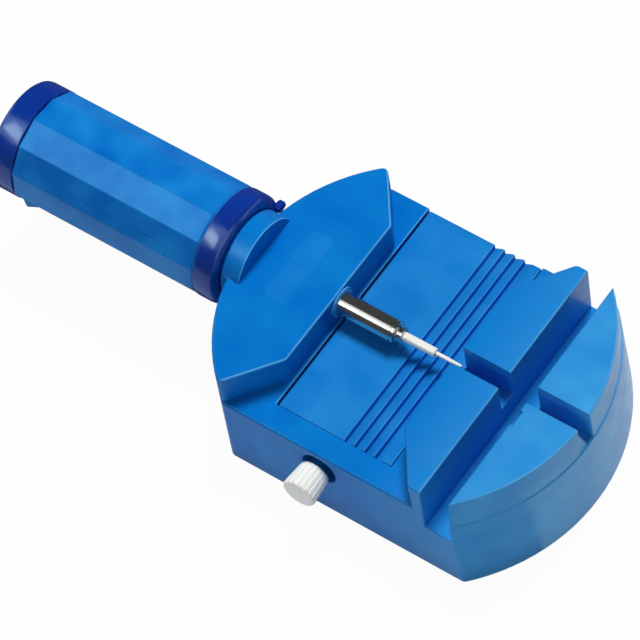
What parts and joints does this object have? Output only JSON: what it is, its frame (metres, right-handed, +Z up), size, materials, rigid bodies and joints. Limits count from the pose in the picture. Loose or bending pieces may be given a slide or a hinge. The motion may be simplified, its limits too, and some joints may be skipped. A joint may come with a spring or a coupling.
{
  "type": "watch link remover",
  "caption": "Hand tool that holds a watch bracelet on a stepped bed between slotted jaws and pushes its link pins out with a needle driven by a screw handle.",
  "frame": {"origin": "on the underside of the base, midway between its flat sides, under the bed between the rear block and the inner jaw", "axes": "+X along the tool's long axis from the handle to the jaws, +Y across the bed away from the thumb screw, +Z up"},
  "size_m": [0.1164, 0.0557, 0.0306],
  "materials": {
    "blue_plastic": "satin moulded",
    "navy_plastic": "glossy moulded",
    "steel": "bright turned",
    "nickel": "nickel plated",
    "brass": "turned",
    "rubber": "matt"
  },
  "bodies": {
    "base": {"base_body": "blue_plastic"},
    "pusher": {"push_rod": "steel", "pin_ferrule": "steel", "pin_holder": "steel", "push_needle": "steel"},
    "handle": {"handle_grip": "blue_plastic", "handle_collar": "navy_plastic", "thrust_washer_front": "brass", "thrust_washer_rear": "brass", "thrust_plug": "brass"},
    "cap": {"end_cap": "navy_plastic", "cap_ring": "rubber", "spare_needle_1": "steel", "spare_needle_2": "steel", "spare_needle_3": "steel"},
    "thumb_screw": {"bed_screw": "nickel", "bed_washer": "nickel", "bed_clip": "steel"},
    "nut": {"bed_nut": "brass"},
    "bed": {"bed_plate": "blue_plastic"}
  },
  "joints": [
    {"name": "pusher_slide", "type": "slide", "parent": "base", "child": "pusher", "axis": [1, 0, 0], "range_m": [-0.02, 0]},
    {"name": "handle_turn", "type": "hinge", "parent": "pusher", "child": "handle", "pos_m": [-0.054, 0, 0.0204], "axis": [1, 0, 0], "range_deg": [-3600, 0]},
    {"name": "cap_pull", "type": "slide", "parent": "handle", "child": "cap", "axis": [-1, 0, 0], "range_m": [0, 0.012]},
    {"name": "bed_screw_turn", "type": "hinge", "parent": "base", "child": "thumb_screw", "pos_m": [-0.0004, -0.025, 0.0122], "axis": [0, -1, 0], "range_deg": [0, 5040]},
    {"name": "nut_slide", "type": "slide", "parent": "base", "child": "nut", "axis": [0, 1, 0], "range_m": [0, 0.007]},
    {"name": "bed_slide", "type": "slide", "parent": "base", "child": "bed", "axis": [0, 0.9862, 0.1655], "range_m": [0, 0.0071]}
  ],
  "couplings": [
    {"joint": "pusher_slide", "follows": "handle_turn", "m_per_rad": 0.0003183},
    {"joint": "bed_screw_turn", "follows": "bed_slide", "rad_per_m": 12393},
    {"joint": "nut_slide", "follows": "bed_slide", "ratio": 0.98622}
  ]
}
